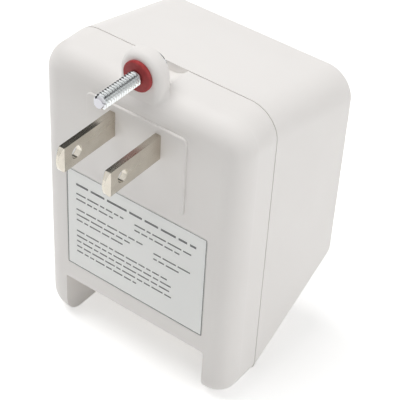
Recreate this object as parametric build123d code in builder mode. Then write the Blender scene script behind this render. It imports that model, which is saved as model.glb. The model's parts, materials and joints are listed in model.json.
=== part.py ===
from build123d import *
import os

os.makedirs("parts", exist_ok=True)

# Frame: the origin lies midway between the blade roots, on the face that meets the outlet.
# +X is to the right as seen from the wall, +Y runs from the wall into the body, +Z is up.

# Plug blades
blade_spacing = 12.7
blade_thickness = 1.5
blade_height = 6.35
blade_length = 18.3
blade_hole_radius = 1.6
blade_hole_setback = 5.5
blade_tip_bevel_length = 1.6
blade_tip_bevel_depth = 0.45
blade_nose_sag = 1.4
blade_corner_radius = 0.7
blade_tail_height = 4.0
blade_tail_end = 10.2

# Housing, two moulded halves that meet at a seam
body_width = 56.8
body_depth = 45.0
plate_depth = 12.5
top_height = 12.0
front_top_height = 5.0
leg_reach = 69.2
recess_reach = 55.5
cheek_reach = 66.6
front_reach = 49.0
leg_width = 7.1
wall = 2.3
top_corner_radius = 7.5
leg_corner_radius = 6.5
plate_edge_radius = 5.5
front_edge_radius = 2.2
front_lower_radius = 3.5
recess_edge_radius = 0.8
seam_groove = 0.3
tongue_thickness = 1.1
tongue_depth = 1.8
tongue_clearance = 0.1
tongue_inset = 0.2
cavity_floor_radius = 2.6
cavity_corner_radius = 1.0

# Raised platform that the blades come out of
platform_width = 27.8
platform_top = 5.1
platform_bottom = -16.5
platform_height = 0.5
platform_corner = 1.4
platform_edge_chamfer = 0.2
blade_pad_width = 24.0
blade_pad_height = 11.0
blade_pad_depth = 2.2
blade_pad_corner = 1.0

# Fixing ear, its captive screw and the washer that keeps the screw in
screw_height = 15.1
ear_rim = 1.9
ear_setback = 0.5
ear_thickness = 4.1
ear_edge_radius = 1.6
ear_back_chamfer = 0.6
ear_root_radius = 1.2
screw_radius = 1.75
screw_length = 17.5
screw_point = 0.6
neck_radius = 1.45
neck_gap = 0.3
screw_hole_clearance = 0.1
head_radius = 3.45
head_height = 2.3
head_crown = 0.8
slot_width = 0.9
slot_depth = 1.1
washer_radius = 3.7
washer_thickness = 0.9
washer_chamfer = 0.25
running_clearance = 0.05
relief_clearance = 1.85
relief_wall = 1.7

# Rating label
label_side_margin = 7.85
label_top_margin = 3.2
label_bottom_margin = 5.8
label_thickness = 0.2
label_corner = 0.8
label_clearance = 0.15

# Laminated core and the room round it
core_side_gap = 2.1
core_clearance = 0.1
wiring_space = 3.1
coil_back_gap = 2.75
coil_front_gap = 1.55

# Bobbin and windings
bobbin_clearance = 0.2
tube_wall = 1.0
flange_thickness = 0.8
flange_margin = 0.3
flange_corner = 2.0
winding_gap = 1.3
winding_clearance = 0.1
tape_thickness = 0.35
coil_corner = 5.0

# Thermal fuse
fuse_radius = 1.7
fuse_length = 9.0
fuse_wire_radius = 0.4
sleeve_wall = 0.25
fuse_wire_bend = 1.0
fuse_wire_stub = 1.4
fuse_core_gap = 1.85

# Insulated leads
lead_radius = 0.7
lead_bend = 1.8
solder_gap = 0.05
lead_spacing = 1.0
lead_end_setback = 3.0

# Output terminals
terminal_pitch = 18.0
terminal_width = 9.0
terminal_length = 10.0
terminal_thickness = 0.9
terminal_corner = 1.0
terminal_from_seam = 10.0
tail_width = 3.0
tail_reach = 6.0
terminal_screw_radius = 1.75
terminal_hole_clearance = 0.03
terminal_hole_depth = 7.4
terminal_screw_gap = 0.4
terminal_head_radius = 3.7
terminal_head_height = 2.2
terminal_head_chamfer = 0.6
boss_radius = 3.6
boss_height = 5.6
barrier_thickness = 1.6
barrier_height = 4.4

# Supports that clamp the core between the two halves
pillar_width = 4.0
pillar_height = 5.0
pillar_inset = 3.5
rib_depth = 3.0

# Places worked out from the sizes above
half_width = body_width / 2
wall_face = platform_height
seam = wall_face + plate_depth
front = wall_face + body_depth
plate_floor = wall_face + wall
leg_inner = half_width - leg_width
blade_x = blade_spacing / 2
ear_front = wall_face + ear_setback
ear_back = ear_front + ear_thickness
ear_radius = washer_radius + ear_rim
relief_radius = head_radius + relief_clearance
label_width = body_width - 2 * label_side_margin
label_top = platform_bottom - label_top_margin
label_bottom = label_bottom_margin - recess_reach
label_height = label_top - label_bottom
terminal_y = seam + terminal_from_seam

# The core is the largest that fits beside the walls and under the front's top corners.
# Its laminations have the pattern that wastes no steel: yokes and windows a sixth as wide
# as the core, a centre leg twice that, and windows three times as high as they are wide.
core_bottom = -recess_reach + wall + boss_height + wiring_space
core_height_room = front_top_height - top_corner_radius - core_bottom
core_width = min(body_width - 2 * (wall + core_side_gap), core_height_room * 6 / 5)
yoke_height = core_width / 6
window_width = core_width / 6
centre_leg_width = 2 * window_width
window_height = 3 * window_width
window_bottom = core_bottom + yoke_height
core_top = core_bottom + window_height + 2 * yoke_height

# The coil fills the depth between the two halves, and the stack is what it leaves
winding_build = window_width - bobbin_clearance - tube_wall - winding_gap
flange_build = window_width - bobbin_clearance - tube_wall - flange_margin
coil_overhang = bobbin_clearance + tube_wall + winding_build + tape_thickness
coil_back = plate_floor + coil_back_gap
coil_front = front - wall - coil_front_gap
stack_depth = coil_front - coil_back - 2 * coil_overhang
core_middle = (coil_back + coil_front) / 2
core_back = core_middle - stack_depth / 2
core_front = core_middle + stack_depth / 2


# A sketch plane that faces the wall, with +X to the right and +Z up
def plane_at(y):
    return Plane.XZ.offset(-y)


# The wall plate's outline: a rounded rectangle with the terminal recess cut out of its foot
def plate_outline():
    with BuildSketch(Plane.XY) as face:
        with Locations((0, (top_height - leg_reach) / 2)):
            Rectangle(body_width, top_height + leg_reach)
        fillet(face.vertices().group_by(Axis.Y)[-1], top_corner_radius)
        fillet(face.vertices().group_by(Axis.Y)[0], leg_corner_radius)
        with Locations((0, -(recess_reach + leg_reach) / 2)):
            Rectangle(2 * leg_inner, leg_reach - recess_reach, mode=Mode.SUBTRACT)
    return face.sketch


# The main cavity's outline, grown outwards by a margin
def cavity_face(margin):
    low = -recess_reach + wall - margin
    high = top_height - wall + margin
    with BuildSketch(Plane.XY) as face:
        with Locations((0, (low + high) / 2)):
            Rectangle(body_width - 2 * wall + 2 * margin, high - low)
        fillet(face.vertices().group_by(Axis.Y)[-1], top_corner_radius - wall + margin)
        fillet(face.vertices().group_by(Axis.Y)[0], cavity_corner_radius + margin)
    return face.sketch


# A rectangular coil seen from above: the rounded outside less the tube it is wound on
def ring_face(inner_x, inner_y, build, corner):
    with BuildSketch(Plane.XY) as face:
        RectangleRounded(2 * (inner_x + build), 2 * (inner_y + build), corner)
        Rectangle(2 * inner_x, 2 * inner_y, mode=Mode.SUBTRACT)
    return face.sketch


def finish(part, name):
    part.label = name
    export_step(part, f"parts/{name}.step")


# Wall plate: the half that carries the blades, the fixing ear and the two legs
with BuildPart() as wall_plate:
    with BuildSketch(plane_at(wall_face)):
        add(plate_outline())
    extrude(amount=-plate_depth)
    wall_edges = wall_plate.faces().sort_by(Axis.Y)[0].edges()
    outer_edges = wall_edges.filter_by(
        lambda e: abs(e.center().X) > leg_inner + 0.01 or e.center().Z > 0
    )
    fillet(outer_edges, plate_edge_radius)
    recess_roof = wall_plate.faces().filter_by(Axis.Z).sort_by(
        lambda f: abs(f.center().Z + recess_reach)
    )[0]
    fillet(recess_roof.edges().sort_by(Axis.Y)[0], recess_edge_radius)
    # Shadow line round the seam
    with BuildSketch(plane_at(seam - seam_groove)):
        add(plate_outline())
        offset(amount=-seam_groove, mode=Mode.SUBTRACT)
    extrude(amount=-seam_groove, mode=Mode.SUBTRACT)
    # Main cavity, with a soft inner corner, that leaves a wall round the screwdriver relief
    with BuildPart(mode=Mode.PRIVATE) as cavity:
        with BuildSketch(plane_at(plate_floor)):
            add(cavity_face(0))
        extrude(amount=plate_floor - seam)
        floor_edges = cavity.faces().sort_by(Axis.Y)[0].edges()
        fillet(
            floor_edges.filter_by(lambda e: e.center().Z > wall - recess_reach + cavity_floor_radius),
            cavity_floor_radius,
        )
        with BuildSketch(plane_at(plate_floor)):
            with Locations((0, screw_height)):
                Circle(relief_radius + relief_wall)
        extrude(amount=plate_floor - seam, mode=Mode.SUBTRACT)
    add(cavity.part, mode=Mode.SUBTRACT)
    # Cored legs
    pocket_floor = wall_face + plate_edge_radius
    pocket_low = -leg_reach + leg_corner_radius
    pocket_high = -recess_reach + wall + cavity_corner_radius
    with BuildSketch(plane_at(pocket_floor)):
        for side in (-1, 1):
            with Locations((side * (half_width - leg_width / 2), (pocket_low + pocket_high) / 2)):
                Rectangle(leg_width - 2 * wall, pocket_high - pocket_low)
    extrude(amount=pocket_floor - seam, mode=Mode.SUBTRACT)
    # Rebate for the front housing's tongue
    with BuildSketch(plane_at(seam - tongue_depth - tongue_clearance)):
        add(cavity_face(tongue_thickness + tongue_clearance))
        with Locations((0, screw_height)):
            Circle(relief_radius + relief_wall, mode=Mode.SUBTRACT)
    extrude(amount=-tongue_depth - tongue_clearance, mode=Mode.SUBTRACT)
    # Raised platform and the thick pad that grips the blades
    with BuildSketch(plane_at(wall_face)):
        with Locations((0, (platform_top + platform_bottom) / 2)):
            RectangleRounded(platform_width, platform_top - platform_bottom, platform_corner)
    extrude(amount=platform_height)
    chamfer(wall_plate.faces().sort_by(Axis.Y)[0].edges(), platform_edge_chamfer)
    with BuildSketch(plane_at(plate_floor)):
        RectangleRounded(blade_pad_width, blade_pad_height, blade_pad_corner)
    extrude(amount=-blade_pad_depth)
    # Fixing ear, set back so that its washer stays behind the outlet's face
    with BuildSketch(plane_at(ear_front)):
        with Locations((0, screw_height)):
            Circle(ear_radius)
        with Locations((0, screw_height / 2)):
            Rectangle(2 * ear_radius, screw_height)
    extrude(amount=-ear_thickness)
    ear_rims = wall_plate.edges().filter_by(GeomType.CIRCLE).filter_by(
        lambda e: abs(e.radius - ear_radius) < 0.01
    )
    fillet(ear_rims.sort_by(Axis.Y)[0], ear_edge_radius)
    chamfer(ear_rims.sort_by(Axis.Y)[-1], ear_back_chamfer)
    # Screwdriver relief behind the ear, a trough that the front housing's rim closes at the seam
    with BuildSketch(plane_at(ear_back)):
        with Locations((0, screw_height)):
            Circle(relief_radius)
    extrude(amount=ear_back - seam, mode=Mode.SUBTRACT)
    # Soft blend where the ear's sides run into the body's rounded edge
    ear_roots = wall_plate.edges().filter_by(GeomType.CIRCLE).filter_by(
        lambda e: abs(e.radius - plate_edge_radius) < 0.01
        and abs(abs(e.center().X) - ear_radius) < 0.01
    )
    fillet(ear_roots, ear_root_radius)
    # Screw hole in the ear
    with BuildSketch(plane_at(0)):
        with Locations((0, screw_height)):
            Circle(screw_radius + screw_hole_clearance)
    extrude(amount=-ear_back, mode=Mode.SUBTRACT)
    # Blade slots
    with BuildSketch(plane_at(0)):
        with Locations((-blade_x, 0), (blade_x, 0)):
            Rectangle(blade_thickness, blade_height)
    extrude(amount=-plate_floor - blade_pad_depth, mode=Mode.SUBTRACT)
    # Shallow bed for the rating label
    with BuildSketch(plane_at(wall_face)):
        with Locations((0, label_bottom + label_height / 2)):
            RectangleRounded(
                label_width + 2 * label_clearance, label_height + 2 * label_clearance, label_corner
            )
    extrude(amount=-label_thickness, mode=Mode.SUBTRACT)
    # Pillars that bear on the back of the core
    pillar_x = core_width / 2 - pillar_inset
    pillar_low = core_bottom + pillar_inset + pillar_height / 2
    pillar_high = core_top - pillar_inset - pillar_height / 2
    with BuildSketch(plane_at(plate_floor)):
        for x in (-pillar_x, pillar_x):
            for z in (pillar_low, pillar_high):
                with Locations((x, z)):
                    Rectangle(pillar_width, pillar_height)
    extrude(amount=plate_floor - core_back + core_clearance)
finish(wall_plate.part, "wall_plate")

# Front housing: the deep half, with a sloping top and a cut-away underside
top_slope = (top_height - front_top_height) / (front - seam)
under_slope = (cheek_reach - front_reach) / (front - seam)
with BuildPart() as front_housing:
    with BuildSketch(Plane.YZ) as side_profile:
        with BuildLine():
            Polyline(
                (seam, top_height),
                (front, front_top_height),
                (front, -front_reach),
                (seam, -cheek_reach),
                close=True,
            )
        make_face()
        fillet(side_profile.vertices().group_by(Axis.X)[-1].sort_by(Axis.Y)[0], front_lower_radius)
    extrude(amount=half_width, both=True)
    top_edges = front_housing.faces().sort_by(Axis.Z)[-1].edges().filter_by(
        lambda e: abs(e.center().X) > half_width - 0.01
    )
    fillet(top_edges, top_corner_radius)
    # The front rim runs round the front face and on along the underside's edges
    front_rim = front_housing.faces().sort_by(Axis.Y)[-1].edges().filter_by(
        lambda e: abs(e.center().X) > half_width - 0.01 or e.center().Z > 0
    )
    fillet(front_rim, front_edge_radius)
    # Terminal recess between the cheeks
    with BuildSketch(plane_at(seam)):
        with Locations((0, -(recess_reach + leg_reach) / 2)):
            Rectangle(2 * leg_inner, leg_reach - recess_reach)
    extrude(amount=seam - front, mode=Mode.SUBTRACT)
    # Cavity with parallel walls, cored cheeks included
    with BuildPart(mode=Mode.PRIVATE) as hollow:
        with BuildSketch(Plane.YZ):
            with BuildLine():
                Polyline(
                    (seam - wall, top_height + top_slope * wall),
                    (front, front_top_height),
                    (front, -front_reach),
                    (seam - wall, -cheek_reach - under_slope * wall),
                    close=True,
                )
            make_face()
            offset(amount=-wall, kind=Kind.INTERSECTION)
        extrude(amount=half_width - wall, both=True)
        hollow_top = hollow.faces().sort_by(Axis.Z)[-1].edges().filter_by(
            lambda e: abs(e.center().X) > half_width - wall - 0.01
        )
        fillet(hollow_top, top_corner_radius - wall)
        with BuildSketch(plane_at(seam)):
            with Locations((0, -(recess_reach - wall + leg_reach) / 2)):
                Rectangle(2 * (leg_inner + wall), leg_reach - recess_reach + wall)
        extrude(amount=seam - front, mode=Mode.SUBTRACT)
        # The rim stays solid where it closes the screwdriver relief
        with BuildSketch(plane_at(seam)):
            with Locations((0, screw_height)):
                Circle(relief_radius + relief_wall)
        extrude(amount=-wall, mode=Mode.SUBTRACT)
    add(hollow.part, mode=Mode.SUBTRACT)
    # Tongue that locates in the wall plate's rebate, with a gap for the relief's wall
    with BuildSketch(plane_at(seam - tongue_depth)):
        add(cavity_face(tongue_thickness))
        add(cavity_face(tongue_inset), mode=Mode.SUBTRACT)
        with Locations((0, screw_height)):
            Circle(relief_radius + relief_wall + tongue_clearance, mode=Mode.SUBTRACT)
    extrude(amount=-tongue_depth)
    # Pillars and side ribs that hold the core
    with BuildSketch(plane_at(core_front + core_clearance)):
        for x in (-pillar_x, pillar_x):
            for z in (pillar_low, pillar_high):
                with Locations((x, z)):
                    Rectangle(pillar_width, pillar_height)
    extrude(amount=core_front + core_clearance - front + wall)
    rib_thickness = half_width - wall - core_width / 2 - core_clearance
    with BuildSketch(Plane.XY.offset(core_bottom)):
        for side in (-1, 1):
            with Locations((side * (half_width - wall - rib_thickness / 2), core_middle)):
                Rectangle(rib_thickness, rib_depth)
    extrude(amount=core_top - core_bottom)
    # Screw bosses, tail slots and the barrier between the output terminals
    with BuildSketch(Plane.XY.offset(-recess_reach + wall)):
        with Locations((-terminal_pitch / 2, terminal_y), (terminal_pitch / 2, terminal_y)):
            Circle(boss_radius)
    extrude(amount=boss_height)
    with BuildSketch(Plane.XY.offset(-recess_reach)):
        with Locations((-terminal_pitch / 2, terminal_y), (terminal_pitch / 2, terminal_y)):
            Circle(terminal_screw_radius + terminal_hole_clearance)
    extrude(amount=terminal_hole_depth, mode=Mode.SUBTRACT)
    with BuildSketch(Plane.XY.offset(-recess_reach)):
        tail_y = terminal_y - terminal_length / 2 + terminal_thickness / 2
        with Locations((-terminal_pitch / 2, tail_y), (terminal_pitch / 2, tail_y)):
            Rectangle(tail_width, terminal_thickness)
    extrude(amount=wall, mode=Mode.SUBTRACT)
    with BuildSketch(Plane.XY.offset(-recess_reach)):
        with Locations((0, terminal_y)):
            Rectangle(barrier_thickness, terminal_length)
    extrude(amount=-barrier_height)
finish(front_housing.part, "front_housing")

# Plug blades, stamped from strip with a narrower tail inside the housing
for blade_name, blade_centre in (("blade_left", -blade_x), ("blade_right", blade_x)):
    with BuildPart() as blade:
        with BuildSketch(Plane.YZ.offset(blade_centre - blade_thickness / 2)) as strip:
            with BuildLine():
                nose = ThreePointArc(
                    (blade_nose_sag - blade_length, blade_height / 2),
                    (-blade_length, 0),
                    (blade_nose_sag - blade_length, -blade_height / 2),
                )
                Polyline(
                    nose @ 1,
                    (plate_floor + blade_pad_depth, -blade_height / 2),
                    (plate_floor + blade_pad_depth, blade_height / 2),
                    nose @ 0,
                )
            make_face()
            fillet(strip.vertices().sort_by(Axis.X)[:2], blade_corner_radius)
            with Locations((blade_tail_end / 2, 0)):
                Rectangle(blade_tail_end, blade_tail_height)
            with Locations((blade_hole_setback - blade_length, 0)):
                Circle(blade_hole_radius, mode=Mode.SUBTRACT)
        extrude(amount=blade_thickness)
        # The tip is bevelled on both faces
        with BuildSketch(Plane((blade_centre, 0, -blade_height / 2))):
            with BuildLine():
                Polyline(
                    (-blade_thickness / 2, blade_tail_end),
                    (-blade_thickness / 2, blade_tip_bevel_length - blade_length),
                    (blade_tip_bevel_depth - blade_thickness / 2, -blade_length),
                    (blade_thickness / 2 - blade_tip_bevel_depth, -blade_length),
                    (blade_thickness / 2, blade_tip_bevel_length - blade_length),
                    (blade_thickness / 2, blade_tail_end),
                    close=True,
                )
            make_face()
        extrude(amount=blade_height, mode=Mode.INTERSECT)
    finish(blade.part, blade_name)

# Rating label, left bare
with BuildPart() as rating_label:
    with BuildSketch(plane_at(wall_face)):
        with Locations((0, label_bottom + label_height / 2)):
            RectangleRounded(label_width, label_height, label_corner)
    extrude(amount=-label_thickness)
finish(rating_label.part, "rating_label")

# Captive fixing screw: a crowned, slotted head and a plain shank at the thread's major radius,
# with a neck that the washer snaps into
head_seat = ear_back + running_clearance
screw_tip = head_seat - screw_length
washer_seat = ear_front - running_clearance
neck_start = washer_seat - washer_thickness - neck_gap
with BuildPart() as mounting_screw:
    with BuildSketch(Plane.YZ):
        with BuildLine():
            Polyline(
                (screw_tip, screw_height),
                (screw_tip, screw_height + screw_radius - screw_point),
                (screw_tip + screw_point, screw_height + screw_radius),
                (neck_start, screw_height + screw_radius),
                (neck_start, screw_height + neck_radius),
                (washer_seat, screw_height + neck_radius),
                (washer_seat, screw_height + screw_radius),
                (head_seat, screw_height + screw_radius),
                (head_seat, screw_height + head_radius),
                (head_seat + head_height - head_crown, screw_height + head_radius),
            )
            ThreePointArc(
                (head_seat + head_height - head_crown, screw_height + head_radius),
                (head_seat + head_height - head_crown / 4, screw_height + head_radius / 2),
                (head_seat + head_height, screw_height),
            )
            Line((head_seat + head_height, screw_height), (screw_tip, screw_height))
        make_face()
    revolve(axis=Axis((0, 0, screw_height), (0, 1, 0)))
    with BuildSketch(plane_at(head_seat + head_height - slot_depth)):
        with Locations((0, screw_height)):
            Rectangle(2 * head_radius, slot_width)
    extrude(amount=-slot_depth, mode=Mode.SUBTRACT)
finish(mounting_screw.part, "mounting_screw")

# Fibre washer in the screw's neck, which keeps the screw from falling out of the ear
with BuildPart() as retaining_washer:
    with BuildSketch(plane_at(washer_seat - washer_thickness)):
        with Locations((0, screw_height)):
            Circle(washer_radius)
            Circle(neck_radius, mode=Mode.SUBTRACT)
    extrude(amount=-washer_thickness)
    chamfer(retaining_washer.faces().sort_by(Axis.Y)[0].edges(), washer_chamfer)
finish(retaining_washer.part, "retaining_washer")

# Laminated core: an E stack with its yoke at the bottom, closed by a straight I stack on top
with BuildPart() as core_e_stack:
    with BuildSketch(plane_at(core_back)):
        with Locations((0, core_bottom + (window_height + yoke_height) / 2)):
            Rectangle(core_width, window_height + yoke_height)
        window_x = (centre_leg_width + window_width) / 2
        with Locations(
            (-window_x, window_bottom + window_height / 2),
            (window_x, window_bottom + window_height / 2),
        ):
            Rectangle(window_width, window_height, mode=Mode.SUBTRACT)
    extrude(amount=-stack_depth)
finish(core_e_stack.part, "core_e_stack")

with BuildPart() as core_i_stack:
    with BuildSketch(plane_at(core_back)):
        with Locations((0, core_top - yoke_height / 2)):
            Rectangle(core_width, yoke_height)
    extrude(amount=-stack_depth)
finish(core_i_stack.part, "core_i_stack")

# Bobbin on the centre leg: a tube with three flanges that part the two windings
tube_x = centre_leg_width / 2 + bobbin_clearance
tube_y = stack_depth / 2 + bobbin_clearance
wound_x = tube_x + tube_wall
wound_y = tube_y + tube_wall
bobbin_bottom = window_bottom + bobbin_clearance
bobbin_top = window_bottom + window_height - bobbin_clearance
section_height = (bobbin_top - bobbin_bottom - 3 * flange_thickness) / 2
with BuildPart() as bobbin:
    with BuildSketch(Plane((0, core_middle, bobbin_bottom))):
        Rectangle(2 * wound_x, 2 * wound_y)
        Rectangle(2 * tube_x, 2 * tube_y, mode=Mode.SUBTRACT)
    extrude(amount=bobbin_top - bobbin_bottom)
    for level in range(3):
        flange_z = bobbin_bottom + level * (section_height + flange_thickness)
        with BuildSketch(Plane((0, core_middle, flange_z))):
            add(ring_face(wound_x, wound_y, flange_build, flange_corner))
        extrude(amount=flange_thickness)
finish(bobbin.part, "bobbin")

# Windings and their outer wraps of tape, secondary below and primary above
for level, winding_name in enumerate(("secondary", "primary")):
    winding_z = bobbin_bottom + flange_thickness + winding_clearance
    winding_z = winding_z + level * (section_height + flange_thickness)
    winding_height = section_height - 2 * winding_clearance
    with BuildPart() as winding:
        with BuildSketch(Plane((0, core_middle, winding_z))):
            add(ring_face(wound_x, wound_y, winding_build, coil_corner))
        extrude(amount=winding_height)
    finish(winding.part, f"{winding_name}_winding")
    with BuildPart() as tape:
        with BuildSketch(Plane((0, core_middle, winding_z))):
            RectangleRounded(
                2 * (wound_x + winding_build + tape_thickness),
                2 * (wound_y + winding_build + tape_thickness),
                coil_corner + tape_thickness,
            )
            RectangleRounded(
                2 * (wound_x + winding_build), 2 * (wound_y + winding_build), coil_corner,
                mode=Mode.SUBTRACT,
            )
        extrude(amount=winding_height)
    finish(tape.part, f"{winding_name}_tape")

# Thermal fuse in its sleeve, lying on the bobbin's top flange behind the yoke
fuse_z = bobbin_top + sleeve_wall + fuse_radius
fuse_y = core_back - fuse_core_gap - sleeve_wall - fuse_radius
coil_face = core_middle - wound_y - flange_build
lead_y = coil_face - lead_radius - solder_gap
fuse_drop_y = coil_face - fuse_wire_radius - solder_gap
fuse_left = -fuse_length / 2
fuse_right = fuse_length / 2
blade_side = blade_x + blade_thickness / 2 + solder_gap
with BuildPart() as thermal_fuse:
    with BuildSketch(Plane.YZ.offset(fuse_left)):
        with Locations((fuse_y, fuse_z)):
            Circle(fuse_radius)
    extrude(amount=fuse_length)
    with BuildLine() as to_winding:
        FilletPolyline(
            (fuse_left, fuse_y, fuse_z),
            (fuse_left - fuse_wire_stub, fuse_y, fuse_z),
            (fuse_left - fuse_wire_stub, fuse_drop_y, fuse_z),
            (fuse_left - fuse_wire_stub, fuse_drop_y, bobbin_top - section_height / 2),
            radius=fuse_wire_bend,
        )
    with BuildSketch(Plane(to_winding.line @ 0, z_dir=to_winding.line % 0)):
        Circle(fuse_wire_radius)
    sweep(path=to_winding.line)
    with BuildLine() as to_blade:
        FilletPolyline(
            (fuse_right, fuse_y, fuse_z),
            (blade_side + fuse_wire_radius, fuse_y, fuse_z),
            (blade_side + fuse_wire_radius, fuse_y, blade_tail_height / 2),
            radius=fuse_wire_bend,
        )
    with BuildSketch(Plane(to_blade.line @ 0, z_dir=to_blade.line % 0)):
        Circle(fuse_wire_radius)
    sweep(path=to_blade.line)
finish(thermal_fuse.part, "thermal_fuse")

with BuildPart() as fuse_sleeve:
    with BuildSketch(Plane.YZ.offset(fuse_left)):
        with Locations((fuse_y, fuse_z)):
            Circle(fuse_radius + sleeve_wall)
            Circle(fuse_radius, mode=Mode.SUBTRACT)
    extrude(amount=fuse_length)
finish(fuse_sleeve.part, "fuse_sleeve")

# Insulated leads, each a wire along straight runs joined by arcs
primary_start_z = bobbin_top - section_height
under_pad_z = -blade_pad_height / 2 - lead_radius - lead_spacing
neutral_x = -blade_side - lead_radius
secondary_start_z = bobbin_bottom + section_height
secondary_drop_z = core_bottom - lead_radius - lead_spacing
tail_face = terminal_y - terminal_length / 2 - solder_gap - lead_radius
secondary_x = centre_leg_width / 2
lead_routes = {
    "neutral_lead": [
        (neutral_x, lead_y, primary_start_z),
        (neutral_x, lead_y, under_pad_z),
        (neutral_x, fuse_y, under_pad_z),
        (neutral_x, fuse_y, blade_tail_height / 2),
    ],
}
for side, lead_name in ((-1, "secondary_lead_left"), (1, "secondary_lead_right")):
    lead_routes[lead_name] = [
        (side * secondary_x, lead_y, secondary_start_z),
        (side * secondary_x, lead_y, secondary_drop_z),
        (side * terminal_pitch / 2, tail_face, secondary_drop_z),
        (side * terminal_pitch / 2, tail_face, tail_reach - recess_reach - lead_end_setback),
    ]
for lead_name, route in lead_routes.items():
    with BuildPart() as lead:
        with BuildLine() as wire:
            FilletPolyline(*route, radius=lead_bend)
        with BuildSketch(Plane(wire.line @ 0, z_dir=wire.line % 0)):
            Circle(lead_radius)
        sweep(path=wire.line)
    finish(lead.part, lead_name)

# Output terminals: a bent plate under each binding screw, with its tail in the housing
for side, side_name in ((-1, "left"), (1, "right")):
    terminal_x = side * terminal_pitch / 2
    plate_top = -recess_reach
    with BuildPart() as terminal_plate:
        with BuildSketch(Plane.XY.offset(plate_top - terminal_thickness)):
            with Locations((terminal_x, terminal_y)):
                RectangleRounded(terminal_width, terminal_length, terminal_corner)
                Circle(terminal_screw_radius + terminal_hole_clearance, mode=Mode.SUBTRACT)
        extrude(amount=terminal_thickness)
        with BuildSketch(Plane.XY.offset(plate_top)):
            with Locations((terminal_x, tail_y)):
                Rectangle(tail_width, terminal_thickness)
        extrude(amount=tail_reach)
    finish(terminal_plate.part, f"terminal_plate_{side_name}")

    head_top = plate_top - terminal_thickness
    with BuildPart() as terminal_screw:
        with BuildSketch(Plane.XY.offset(head_top)):
            with Locations((terminal_x, terminal_y)):
                Circle(terminal_screw_radius)
        extrude(amount=terminal_thickness + terminal_hole_depth - terminal_screw_gap)
        with BuildSketch(Plane.XY.offset(head_top)):
            with Locations((terminal_x, terminal_y)):
                Circle(terminal_head_radius)
        extrude(amount=-terminal_head_height)
        chamfer(terminal_screw.faces().sort_by(Axis.Z)[0].edges(), terminal_head_chamfer)
        with BuildSketch(Plane.XY.offset(head_top - terminal_head_height)):
            with Locations((terminal_x, terminal_y)):
                Rectangle(2 * terminal_head_radius, slot_width)
        extrude(amount=slot_depth, mode=Mode.SUBTRACT)
    finish(terminal_screw.part, f"terminal_screw_{side_name}")
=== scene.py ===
import json
import math
import random

import bmesh
import bpy
from mathutils import Matrix, Vector


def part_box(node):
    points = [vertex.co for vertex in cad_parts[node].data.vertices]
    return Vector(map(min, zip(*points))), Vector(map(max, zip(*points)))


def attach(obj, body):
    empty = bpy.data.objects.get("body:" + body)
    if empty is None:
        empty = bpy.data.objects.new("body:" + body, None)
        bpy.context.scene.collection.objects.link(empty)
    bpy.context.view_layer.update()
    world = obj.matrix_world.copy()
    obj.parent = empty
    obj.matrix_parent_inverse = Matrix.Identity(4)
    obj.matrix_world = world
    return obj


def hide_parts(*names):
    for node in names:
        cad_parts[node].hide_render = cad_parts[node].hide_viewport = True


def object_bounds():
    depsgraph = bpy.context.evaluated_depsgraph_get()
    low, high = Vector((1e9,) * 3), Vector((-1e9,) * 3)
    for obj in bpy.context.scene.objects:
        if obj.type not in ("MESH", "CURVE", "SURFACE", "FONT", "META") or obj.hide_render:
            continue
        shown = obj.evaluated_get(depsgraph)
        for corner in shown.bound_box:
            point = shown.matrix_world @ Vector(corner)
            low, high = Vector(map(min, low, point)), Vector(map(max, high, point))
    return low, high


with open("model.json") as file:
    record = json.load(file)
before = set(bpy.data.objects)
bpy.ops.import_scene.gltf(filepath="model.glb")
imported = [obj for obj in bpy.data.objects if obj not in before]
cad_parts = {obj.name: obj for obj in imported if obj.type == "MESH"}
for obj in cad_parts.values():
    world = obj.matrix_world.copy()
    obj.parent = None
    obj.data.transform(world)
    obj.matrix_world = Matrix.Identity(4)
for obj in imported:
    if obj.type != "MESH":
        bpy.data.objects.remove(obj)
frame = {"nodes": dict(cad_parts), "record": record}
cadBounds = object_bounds()
cadNodes = frame["nodes"]
mm = 0.001
print("frame loaded:", len(cadNodes), "nodes")

roundedEdge = 0.12 * mm      # radius that sharp edges are shaded with
mergeGap = 0.002 * mm        # points nearer than this become one
cutSnap = 0.0001 * mm        # points nearer than this to a cut lie on it
usualNoise = (0.3, 0.7)      # nearly all of a noise lies between these
plainWhite = (1, 1, 1, 1)


# Makes a node, with values for its inputs and its own settings
def addNode(tree, kind, inputs=None, **settings):
    node = tree.nodes.new(kind)
    for name, value in settings.items():
        setattr(node, name, value)
    for name, value in (inputs or {}).items():
        node.inputs[name].default_value = value
    return node


# A plain finish that shades sharp edges as if they had a small radius
def newFinish(name, color, roughness, metallic=0.0, specular=0.5, edge=roundedEdge):
    material = bpy.data.materials.new(name)
    material.use_nodes = True
    tree = material.node_tree
    shader = tree.nodes["Principled BSDF"]
    shader.inputs["Base Color"].default_value = (*color, 1)
    shader.inputs["Roughness"].default_value = roughness
    shader.inputs["Metallic"].default_value = metallic
    shader.inputs["Specular IOR Level"].default_value = specular
    if edge:
        bevel = addNode(tree, "ShaderNodeBevel", {"Radius": edge}, samples=6)
        tree.links.new(bevel.outputs["Normal"], shader.inputs["Normal"])
    return material, tree, shader


# Noise on Object coordinates, with spots about 1 / scale metres across; a stretch below 1
# draws them out along that axis
def noiseField(tree, scale, detail, rough, stretch=(1, 1, 1)):
    coords = addNode(tree, "ShaderNodeTexCoord")
    mapping = addNode(tree, "ShaderNodeMapping", {"Scale": stretch})
    noise = addNode(tree, "ShaderNodeTexNoise", {
        "Scale": scale, "Detail": detail, "Roughness": rough,
    })
    tree.links.new(coords.outputs["Object"], mapping.inputs["Vector"])
    tree.links.new(mapping.outputs["Vector"], noise.inputs["Vector"])
    return noise.outputs["Fac"]


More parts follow.
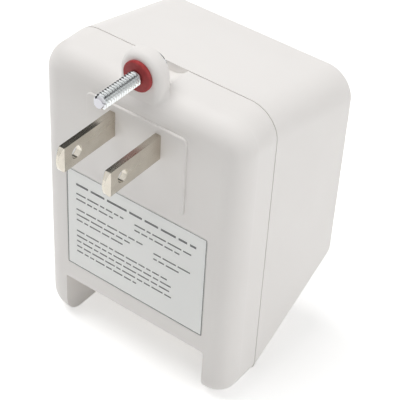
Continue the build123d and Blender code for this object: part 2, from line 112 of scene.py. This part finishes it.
# The shade where the field is below low, and the colour where it is above high
def mottle(tree, shader, field, shade, color, low=0.35, high=0.65):
    ramp = addNode(tree, "ShaderNodeValToRGB")
    ramp.color_ramp.elements[0].position = low
    ramp.color_ramp.elements[0].color = (*shade, 1)
    ramp.color_ramp.elements[1].position = high
    ramp.color_ramp.elements[1].color = (*color, 1)
    tree.links.new(field, ramp.inputs["Fac"])
    tree.links.new(ramp.outputs["Color"], shader.inputs["Base Color"])


def varyRoughness(tree, shader, field, roughness, spread):
    sheen = addNode(tree, "ShaderNodeMapRange", {
        "From Min": usualNoise[0], "From Max": usualNoise[1],
        "To Min": roughness + spread[0], "To Max": roughness + spread[1],
    })
    tree.links.new(field, sheen.inputs["Value"])
    tree.links.new(sheen.outputs["Result"], shader.inputs["Roughness"])


# A bump over whatever shapes the normals so far
def addBump(tree, shader, field, depth, strength=1.0):
    bump = addNode(tree, "ShaderNodeBump", {"Distance": depth, "Strength": strength})
    tree.links.new(field, bump.inputs["Height"])
    if shader.inputs["Normal"].is_linked:
        tree.links.new(shader.inputs["Normal"].links[0].from_socket, bump.inputs["Normal"])
    tree.links.new(bump.outputs["Normal"], shader.inputs["Normal"])


# Painted shade: a darker second colour that takes over from one place along Y to another
def addPaintedShade(tree, shader, paintedShade):
    coords = addNode(tree, "ShaderNodeTexCoord")
    split = addNode(tree, "ShaderNodeSeparateXYZ")
    reach = addNode(tree, "ShaderNodeMapRange", {
        "From Min": paintedShade["from"], "From Max": paintedShade["to"], "To Max": paintedShade["amount"],
    }, interpolation_type="SMOOTHSTEP")
    mix = addNode(tree, "ShaderNodeMix", data_type="RGBA")
    mix.inputs["B"].default_value = (*paintedShade["color"], 1)
    tree.links.new(coords.outputs["Object"], split.inputs[0])
    tree.links.new(split.outputs["Y"], reach.inputs["Value"])
    tree.links.new(reach.outputs["Result"], mix.inputs["Factor"])
    tree.links.new(shader.inputs["Base Color"].links[0].from_socket, mix.inputs["A"])
    tree.links.new(mix.outputs["Result"], shader.inputs["Base Color"])


# Moulded plastic: fine spark-eroded grain over a slow unevenness; each noise here and below
# is its scale, detail and roughness
mouldedSettings = {
    "specular": 0.45,
    "cloud": (45, 2, 0.5),
    "sheen": (160, 3, 0.5),
    "sheenSpread": (-0.04, 0.06),
    "sink": (26, 2, 0.5),
    "sinkDepth": 0.05 * mm,
    "sinkStrength": 0.5,
    "grain": (3200, 2, 0.6),
}
housingLook = {
    "color": (0.876, 0.85, 0.826),
    "shade": (0.863, 0.837, 0.813),
    "roughness": 0.42,
    "grainDepth": 0.006 * mm,
}
labelLook = {
    "color": (0.92, 0.927, 0.908),
    "shade": (0.9, 0.907, 0.888),
    "roughness": 0.33,
    "grainDepth": 0.002 * mm,
}


def mouldedPlastic(name, look, settings):
    roughness = look["roughness"]
    material, tree, shader = newFinish(name, look["color"], roughness, specular=settings["specular"])
    mottle(tree, shader, noiseField(tree, *settings["cloud"]), look["shade"], look["color"])
    varyRoughness(
        tree, shader, noiseField(tree, *settings["sheen"]), roughness, settings["sheenSpread"],
    )
    addBump(
        tree, shader, noiseField(tree, *settings["sink"]),
        settings["sinkDepth"], settings["sinkStrength"],
    )
    addBump(tree, shader, noiseField(tree, *settings["grain"]), look["grainDepth"])
    return material


# Rolled, plated or turned metal, with fine scratches that the stretch draws out along one axis
platedSettings = {
    "cloud": (260, 3, 0.5),
    "sheen": (500, 3, 0.6),
    "sheenSpread": (-0.06, 0.1),
    "scratches": (1600, 3, 0.6),
}
bladeLook = {
    "color": (0.69, 0.65, 0.575),
    "shade": (0.625, 0.585, 0.51),
    "roughness": 0.2,
    "stretch": (1, 0.06, 1),
    "scratchDepth": 0.002 * mm,
    # painted shade: darker towards the root, where the blade meets the housing
    "paintedShade": {"color": (0.53, 0.47, 0.4), "from": -6 * mm, "to": 0.5 * mm, "amount": 0.6},
}
screwLook = {
    "color": (0.84, 0.86, 0.86),
    "shade": (0.77, 0.79, 0.8),
    "roughness": 0.13,
    "stretch": (1, 1, 1),
    "scratchDepth": 0.003 * mm,
    # painted shade: the end face is darker than the thread
    "paintedShade": {"color": (0.5, 0.49, 0.53), "from": -11.5 * mm, "to": -12.2 * mm, "amount": 0.8},
    "edge": 0,       # the thread is too fine to round
}
brassLook = {
    "color": (0.78, 0.62, 0.33),
    "shade": (0.68, 0.52, 0.26),
    "roughness": 0.24,
    "stretch": (1, 0.08, 1),
    "scratchDepth": 0.002 * mm,
}


def platedMetal(name, look, settings):
    roughness = look["roughness"]
    material, tree, shader = newFinish(
        name, look["color"], roughness, metallic=1.0, edge=look.get("edge", roundedEdge),
    )
    mottle(tree, shader, noiseField(tree, *settings["cloud"]), look["shade"], look["color"])
    # painted shade along Y, where the look gives one
    if "paintedShade" in look:
        addPaintedShade(tree, shader, look["paintedShade"])
    sheen = noiseField(tree, *settings["sheen"], stretch=look["stretch"])
    varyRoughness(tree, shader, sheen, roughness, settings["sheenSpread"])
    scratches = noiseField(tree, *settings["scratches"], stretch=look["stretch"])
    addBump(tree, shader, scratches, look["scratchDepth"])
    return material


# Pressed fibre: two tones of one red, with an uneven sheen and a coarse surface
washerLook = {
    "color": (0.39, 0.045, 0.046),
    "shade": (0.29, 0.028, 0.031),
    "roughness": 0.55,
    "cloud": (900, 5, 0.65),
    "toneBand": (0.3, 0.7),
    "sheen": (600, 3, 0.5),
    "sheenSpread": (-0.08, 0.12),
    "grain": (2400, 4, 0.7),
    "grainDepth": 0.012 * mm,
}


def fibreFinish(name, look):
    roughness = look["roughness"]
    material, tree, shader = newFinish(name, look["color"], roughness)
    cloud = noiseField(tree, *look["cloud"])
    mottle(tree, shader, cloud, look["shade"], look["color"], *look["toneBand"])
    varyRoughness(tree, shader, noiseField(tree, *look["sheen"]), roughness, look["sheenSpread"])
    addBump(tree, shader, noiseField(tree, *look["grain"]), look["grainDepth"])
    return material


# Ink, tape, nylon, insulation and the like: two near tones and a faint grain
softSettings = {
    "cloud": (700, 4, 0.5),
    "grain": (2600, 3, 0.5),
    "grainDepth": 0.01 * mm,
}
softLooks = {
    "ink": {"color": (0.12, 0.122, 0.125), "shade": (0.18, 0.182, 0.185), "roughness": 0.5},
    "tape": {"color": (0.72, 0.5, 0.08), "shade": (0.66, 0.45, 0.06), "roughness": 0.35},
    "nylon": {"color": (0.78, 0.76, 0.68), "shade": (0.72, 0.7, 0.61), "roughness": 0.45},
    "lead": {"color": (0.02, 0.02, 0.021), "shade": (0.03, 0.03, 0.031), "roughness": 0.38},
    "sleeve": {"color": (0.76, 0.74, 0.66), "shade": (0.62, 0.6, 0.52), "roughness": 0.85},
    "tin": {"color": (0.72, 0.72, 0.7), "shade": (0.62, 0.62, 0.6), "roughness": 0.3},
}


def softFinish(name, look, settings):
    material, tree, shader = newFinish(name, look["color"], look["roughness"])
    mottle(tree, shader, noiseField(tree, *settings["cloud"]), look["shade"], look["color"])
    addBump(tree, shader, noiseField(tree, *settings["grain"]), settings["grainDepth"])
    return material


# Stacked sheet edges or wound turns: parallel bands across one axis, 0.31 m apart at scale 1
bandSettings = {
    "distortion": 0.4,
    "detail": 1.0,
    "depth": 0.04 * mm,
}
laminationLook = {
    "color": (0.16, 0.165, 0.17),
    "shade": (0.09, 0.092, 0.095),
    "roughness": 0.45,
    "metallic": 0.6,
    "axis": "Y",
    "scale": 1000,
}
copperLook = {
    "color": (0.55, 0.2, 0.08),
    "shade": (0.4, 0.13, 0.05),
    "roughness": 0.35,
    "metallic": 0.8,
    "axis": "Z",
    "scale": 1400,
}


def bandedFinish(name, look, settings):
    material, tree, shader = newFinish(name, look["color"], look["roughness"], look["metallic"])
    coords = addNode(tree, "ShaderNodeTexCoord")
    wave = addNode(tree, "ShaderNodeTexWave", {
        "Scale": look["scale"], "Distortion": settings["distortion"], "Detail": settings["detail"],
    }, bands_direction=look["axis"])
    tree.links.new(coords.outputs["Object"], wave.inputs["Vector"])
    mottle(tree, shader, wave.outputs["Fac"], look["shade"], look["color"])
    addBump(tree, shader, wave.outputs["Fac"], settings["depth"])
    return material


screwZinc = platedMetal("screwZinc", screwLook, platedSettings)
labelInk = softFinish("labelInk", softLooks["ink"], softSettings)
finishBySlot = {
    "housing_plastic": mouldedPlastic("housingPlastic", housingLook, mouldedSettings),
    "label_film": mouldedPlastic("labelFilm", labelLook, mouldedSettings),
    "blade_plating": platedMetal("bladePlating", bladeLook, platedSettings),
    "screw_zinc": screwZinc,
    "washer_fibre": fibreFinish("washerFibre", washerLook),
    "lamination_steel": bandedFinish("laminationEdges", laminationLook, bandSettings),
    "bobbin_nylon": softFinish("bobbinNylon", softLooks["nylon"], softSettings),
    "winding_copper": bandedFinish("woundCopper", copperLook, bandSettings),
    "winding_tape": softFinish("windingTape", softLooks["tape"], softSettings),
    "fuse_metal": softFinish("fuseTin", softLooks["tin"], softSettings),
    "sleeve_fibre": softFinish("sleeveWeave", softLooks["sleeve"], softSettings),
    "lead_insulation": softFinish("leadSkin", softLooks["lead"], softSettings),
    "terminal_plating": platedMetal("terminalBrass", brassLook, platedSettings),
}
print("materials made:", len(bpy.data.materials))

for part in frame["record"]["subparts"]:
    node = cadNodes[part["node"]]
    node.data.materials.clear()
    node.data.materials.append(finishBySlot[part["material_slot"]])


# A bmesh becomes an object at the origin, with its place in its mesh
def placeMesh(name, bm, material):
    mesh = bpy.data.meshes.new(name)
    bm.to_mesh(mesh)
    bm.free()
    mesh.materials.append(material)
    placed = bpy.data.objects.new(name, mesh)
    bpy.context.scene.collection.objects.link(placed)
    return placed


# A finished bmesh becomes a piece that rides on a body; edges turned by sharpAngle degrees or
# more stay sharp
def makePiece(name, bm, material, bodyName, sharpAngle=35):
    bmesh.ops.recalc_face_normals(bm, faces=bm.faces)
    for face in bm.faces:
        face.smooth = True
    for edge in bm.edges:
        edge.smooth = edge.is_manifold and edge.calc_face_angle() < math.radians(sharpAngle)
    piece = placeMesh(name, bm, material)
    attributes = piece.data.attributes
    if "custom_normal" in attributes:      # comes along with a CAD node's mesh
        attributes.remove(attributes["custom_normal"])
    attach(piece, bodyName)
    return piece


# Keeps what lies between two planes across Y, and closes the cuts
def cutBand(bm, lowY, highY):
    for y, side in ((lowY, -1), (highY, 1)):
        bmesh.ops.bisect_plane(
            bm, geom=list(bm.verts) + list(bm.edges) + list(bm.faces), dist=cutSnap,
            plane_co=(0, y, 0), plane_no=(0, side, 0), clear_outer=True,
        )
    rims = [edge for edge in bm.edges if edge.is_boundary]
    bmesh.ops.holes_fill(bm, edges=rims, sides=0)


# Fixing screw: a 6-32 thread rolled on the shank, under the node's own neck and head
threadSettings = {
    "majorRadius": 1.75 * mm,
    "pitch": 0.794 * mm,
    "depth": 0.46 * mm,
    # shares of the pitch; the second flank takes the rest
    "rootFlat": 0.2,
    "flank": 0.325,
    "crestFlat": 0.15,
    "steps": 40,               # round one turn
    "spareTurns": 2,           # past both ends, before the cuts
    "plainFrom": -0.2 * mm,    # the thread ends at the washer's neck
    "pastHead": 1 * mm,        # the far cut lies clear of the head
    "tipRadius": 1.15 * mm,
}


# One axial line of the thread's profile, spun round the axis by one pitch a turn
def threadedShank(settings, axisZ, lowY):
    pitch = settings["pitch"]
    crest = axisZ + settings["majorRadius"]
    root = axisZ + (settings["majorRadius"] - settings["depth"])
    bm = bmesh.new()
    profile = []
    y = lowY - settings["spareTurns"] * pitch
    while y < settings["plainFrom"] + settings["spareTurns"] * pitch:
        flatEnd = y + settings["rootFlat"] * pitch
        crestStart = flatEnd + settings["flank"] * pitch
        crestEnd = crestStart + settings["crestFlat"] * pitch
        profile += [
            bm.verts.new((0, y, root)),
            bm.verts.new((0, flatEnd, root)),
            bm.verts.new((0, crestStart, crest)),
            bm.verts.new((0, crestEnd, crest)),
        ]
        y += pitch
    edges = [bm.edges.new(pair) for pair in zip(profile, profile[1:])]
    bmesh.ops.spin(
        bm, geom=profile + edges, cent=(0, 0, axisZ), axis=(0, 1, 0),
        dvec=(0, pitch / settings["steps"], 0), angle=math.tau, steps=settings["steps"],
        use_merge=False, use_duplicate=False,
    )
    bmesh.ops.remove_doubles(bm, verts=bm.verts, dist=mergeGap)
    return bm


def fixingScrew(settings):
    low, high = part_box("mounting_screw")
    axisZ = (low.z + high.z) / 2
    bm = threadedShank(settings, axisZ, low.y)
    # the tip is turned down to a cone
    for vert in bm.verts:
        reach = Vector((vert.co.x, 0, vert.co.z - axisZ))
        limit = settings["tipRadius"] + max(0, vert.co.y - low.y)
        if reach.length > limit:
            reach.length = limit
            vert.co = Vector((reach.x, vert.co.y, axisZ + reach.z))
    cutBand(bm, low.y, settings["plainFrom"])
    # the head and the plain neck come from the node itself
    neck = bmesh.new()
    neck.from_mesh(cadNodes["mounting_screw"].data)
    bmesh.ops.remove_doubles(neck, verts=neck.verts, dist=mergeGap)
    cutBand(neck, settings["plainFrom"], high.y + settings["pastHead"])
    neckMesh = bpy.data.meshes.new("neck")
    neck.to_mesh(neckMesh)
    neck.free()
    bm.from_mesh(neckMesh)
    bpy.data.meshes.remove(neckMesh)
    return bm


screw = makePiece(
    "fixingScrew", fixingScrew(threadSettings), screwZinc, "fixing_screw",
)
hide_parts("mounting_screw")
print("fixing screw threaded:", len(screw.data.polygons), "faces")

# Label print: a frame line and rows of plain bars, with no letters
printSettings = {
    "thickness": 0.02 * mm,
    "frameInset": 0.06 * mm,
    "frameLine": 0.19 * mm,
    "topLine": 0.12 * mm,
    # shortest and longest bar, and the gap after it, in row heights
    "barLength": (2.5, 10.0),
    "barGap": 1.3,
    "seed": 11,
    # each row: start and end as shares of the label's width, how far down as a share of its
    # height, and how tall its bars are in millimetres
    "rows": [
        (0.07, 0.93, 0.13, 0.62), (0.07, 0.42, 0.225, 0.4), (0.5, 0.9, 0.225, 0.4),
        (0.07, 0.36, 0.28, 0.4), (0.5, 0.82, 0.28, 0.4), (0.07, 0.56, 0.385, 0.4),
        (0.07, 0.5, 0.44, 0.4), (0.07, 0.42, 0.495, 0.4), (0.64, 0.92, 0.412, 0.4),
        (0.64, 0.84, 0.467, 0.4), (0.07, 0.74, 0.61, 0.4), (0.07, 0.79, 0.665, 0.4),
        (0.07, 0.76, 0.72, 0.4), (0.07, 0.79, 0.775, 0.4), (0.07, 0.52, 0.83, 0.4),
    ],
}


# A bar that stands proud of the label's face, towards the wall
def addBar(bm, lowX, highX, lowZ, highZ, faceY, thickness):
    size = Vector((highX - lowX, thickness, highZ - lowZ))
    centre = Vector(((lowX + highX) / 2, faceY - thickness / 2, (lowZ + highZ) / 2))
    place = Matrix.Translation(centre) @ Matrix.Diagonal((*size, 1))
    bmesh.ops.create_cube(bm, size=1, matrix=place)


def labelPrint(settings):
    low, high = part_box("rating_label")
    thickness = settings["thickness"]
    inset = settings["frameInset"]
    side = settings["frameLine"]
    left, right = low.x + inset, high.x - inset
    bottom, top = low.z + inset, high.z - inset
    underTop = top - settings["topLine"]
    bm = bmesh.new()
    addBar(bm, left, right, underTop, top, low.y, thickness)
    addBar(bm, left, right, bottom, bottom + side, low.y, thickness)
    for sideX in (left, right - side):
        addBar(bm, sideX, sideX + side, bottom + side, underTop, low.y, thickness)
    shortest = settings["barLength"][0]
    draw = random.Random(settings["seed"])
    for start, end, down, tall in settings["rows"]:
        tall *= mm
        base = high.z - down * (high.z - low.z) - tall / 2
        x = low.x + start * (high.x - low.x)
        stop = low.x + end * (high.x - low.x)
        while stop - x > shortest * tall:
            length = min(draw.uniform(*settings["barLength"]) * tall, stop - x)
            addBar(bm, x, x + length, base, base + tall, low.y, thickness)
            x += length + settings["barGap"] * tall
    return bm


ink = makePiece("labelPrint", labelPrint(printSettings), labelInk, "housing")
print("label print laid out:", len(ink.data.polygons), "faces")


# 1 for rays from the camera, a mirroring surface or glass, and 0 for the light itself
def seenOrMirrored(tree):
    path = addNode(tree, "ShaderNodeLightPath")
    seen = addNode(tree, "ShaderNodeMath", operation="MAXIMUM")
    either = addNode(tree, "ShaderNodeMath", operation="MAXIMUM")
    tree.links.new(path.outputs["Is Camera Ray"], seen.inputs[0])
    tree.links.new(path.outputs["Is Glossy Ray"], seen.inputs[1])
    tree.links.new(seen.outputs[0], either.inputs[0])
    tree.links.new(path.outputs["Is Transmission Ray"], either.inputs[1])
    return either.outputs[0]


# Floor under the lowest point; its glow is only seen or mirrored, and rises with the distance
# from the origin so that the floor ends white
floorSettings = {
    "size": 3.0,
    "cells": 8,
    "color": (0.93, 0.93, 0.925),
    "roughness": 0.8,
    "glow": (0.4, 1.0),
    "glowReach": (0.3, 1.3),
}


def makeFloor(settings):
    bm = bmesh.new()
    cells = settings["cells"]
    bmesh.ops.create_grid(bm, x_segments=cells, y_segments=cells, size=settings["size"] / 2)
    bmesh.ops.translate(bm, verts=bm.verts, vec=(0, 0, cadBounds[0].z))
    paint, tree, shader = newFinish("floorPaint", settings["color"], settings["roughness"], edge=0)
    shader.inputs["Emission Color"].default_value = plainWhite
    coords = addNode(tree, "ShaderNodeTexCoord")
    far = addNode(tree, "ShaderNodeVectorMath", operation="LENGTH")
    reach = addNode(tree, "ShaderNodeMapRange", {
        "From Min": settings["glowReach"][0], "From Max": settings["glowReach"][1],
        "To Min": settings["glow"][0], "To Max": settings["glow"][1],
    })
    glow = addNode(tree, "ShaderNodeMath", operation="MULTIPLY")
    tree.links.new(coords.outputs["Object"], far.inputs[0])
    tree.links.new(far.outputs["Value"], reach.inputs["Value"])
    tree.links.new(reach.outputs["Result"], glow.inputs[1])
    tree.links.new(seenOrMirrored(tree), glow.inputs[0])
    tree.links.new(glow.outputs[0], shader.inputs["Emission Strength"])
    floor = placeMesh("floor", bm, paint)


# The surround lights softly, and is white where it is seen or mirrored
surroundSettings = {"light": 0.28, "seen": 1.0}


def makeSurround(settings):
    world = bpy.data.worlds.new("surround")
    world.use_nodes = True
    tree = world.node_tree
    tree.nodes.clear()
    soft, white = [
        addNode(tree, "ShaderNodeBackground", {"Color": plainWhite, "Strength": settings[use]})
        for use in ("light", "seen")
    ]
    mix = addNode(tree, "ShaderNodeMixShader")
    output = addNode(tree, "ShaderNodeOutputWorld")
    tree.links.new(seenOrMirrored(tree), mix.inputs[0])
    tree.links.new(soft.outputs[0], mix.inputs[1])
    tree.links.new(white.outputs[0], mix.inputs[2])
    tree.links.new(mix.outputs[0], output.inputs["Surface"])
    bpy.context.scene.world = world


# Square lamps in metres and watts, all turned to the object's middle
lightSettings = {
    "topLight": {"place": (-0.35, -0.05, 0.95), "size": 0.8, "power": 7.6},
    "leftLight": {"place": (-1.3, 0.2, 0.45), "size": 0.9, "power": 1.2},
    "rightLight": {"place": (1.3, 0.35, 0.5), "size": 1.0, "power": 5.9},
    "frontLight": {"place": (0.7, -0.8, 0.9), "size": 0.7, "power": 1.25},
}


def makeLights(settings):
    middle = (cadBounds[0] + cadBounds[1]) / 2
    for name, values in settings.items():
        lamp = bpy.data.lights.new(name, "AREA")
        lamp.shape = "SQUARE"
        lamp.size = values["size"]
        lamp.energy = values["power"]
        light = bpy.data.objects.new(name, lamp)
        light.location = values["place"]
        light.rotation_euler = (middle - light.location).to_track_quat("-Z", "Y").to_euler()
        light.visible_glossy = False       # metal mirrors the surround and the cards instead
        bpy.context.scene.collection.objects.link(light)


# Cards are painted reflections, only mirrored: dark and grey sheets that the bright metal picks up.
# They face the origin unless they say otherwise
cardSettings = {
    "backCard": {"place": (-0.05, 0.5, 0.56), "size": (1.3, 0.6), "shade": 0.08},
    "upperCard": {"place": (0.41, 0.31, 0.62), "size": (0.3, 0.34), "shade": 0.3},
    "leftCard": {"place": (-0.52, -0.045, 0.07), "size": (0.87, 0.36), "shade": 0.03},
    "frontCard": {"place": (0.063, -0.89, 0.11), "size": (0.15, 0.34), "shade": 0.02},
    "sideCard": {"place": (0.24, -0.84, 0), "size": (0.2, 0.5), "shade": 0.7},
    "rightCard": {"place": (0.55, 0.2, 0.12), "size": (0.55, 0.42), "shade": 0.75},
    "lowCard": {
        "place": (0.16, -0.38, -0.06), "size": (0.3, 0.54), "shade": 0.6, "facing": (0, 0, 1),
    },
}
cardCells = 4


def makeCards(settings):
    for name, values in settings.items():
        bm = bmesh.new()
        # a square of one metre, brought to size below
        bmesh.ops.create_grid(bm, x_segments=cardCells, y_segments=cardCells, size=0.5)
        place = Vector(values["place"])
        facing = Vector(values.get("facing", -place))
        turn = facing.to_track_quat("Z", "Y").to_matrix().to_4x4()
        size = Matrix.Diagonal((*values["size"], 1, 1))
        bmesh.ops.transform(bm, matrix=Matrix.Translation(place) @ turn @ size, verts=bm.verts)
        grey = [values["shade"]] * 3
        # painted reflection: a grey sheet that only mirrors show
        paintedReflection = newFinish(name + "Cloth", grey, roughness=1.0, specular=0.0, edge=0)[0]
        card = placeMesh(name, bm, paintedReflection)
        card.visible_camera = False
        card.visible_diffuse = False
        card.visible_shadow = False


cameraSettings = {
    "place": (0.1470, -0.1859, 0.1808),
    "aim": (0.00656, 0.01692, -0.02604),
    "roll": 3.4,             # degrees
    "lens": 122.8,           # millimetres
    "sensor": 36,            # millimetres
    "clipStart": 0.01,
}


def makeCamera(settings):
    data = bpy.data.cameras.new("camera")
    data.lens = settings["lens"]
    data.sensor_width = settings["sensor"]
    data.clip_start = settings["clipStart"]
    camera = bpy.data.objects.new("camera", data)
    camera.location = settings["place"]
    toAim = Vector(settings["aim"]) - camera.location
    roll = Matrix.Rotation(math.radians(settings["roll"]), 3, "Z")
    camera.rotation_euler = (toAim.to_track_quat("-Z", "Y").to_matrix() @ roll).to_euler()
    bpy.context.scene.collection.objects.link(camera)
    bpy.context.scene.camera = camera


makeFloor(floorSettings)
makeSurround(surroundSettings)
makeLights(lightSettings)
makeCards(cardSettings)
makeCamera(cameraSettings)
bpy.context.scene.view_settings.view_transform = "Standard"
print("stage, lights and camera set")
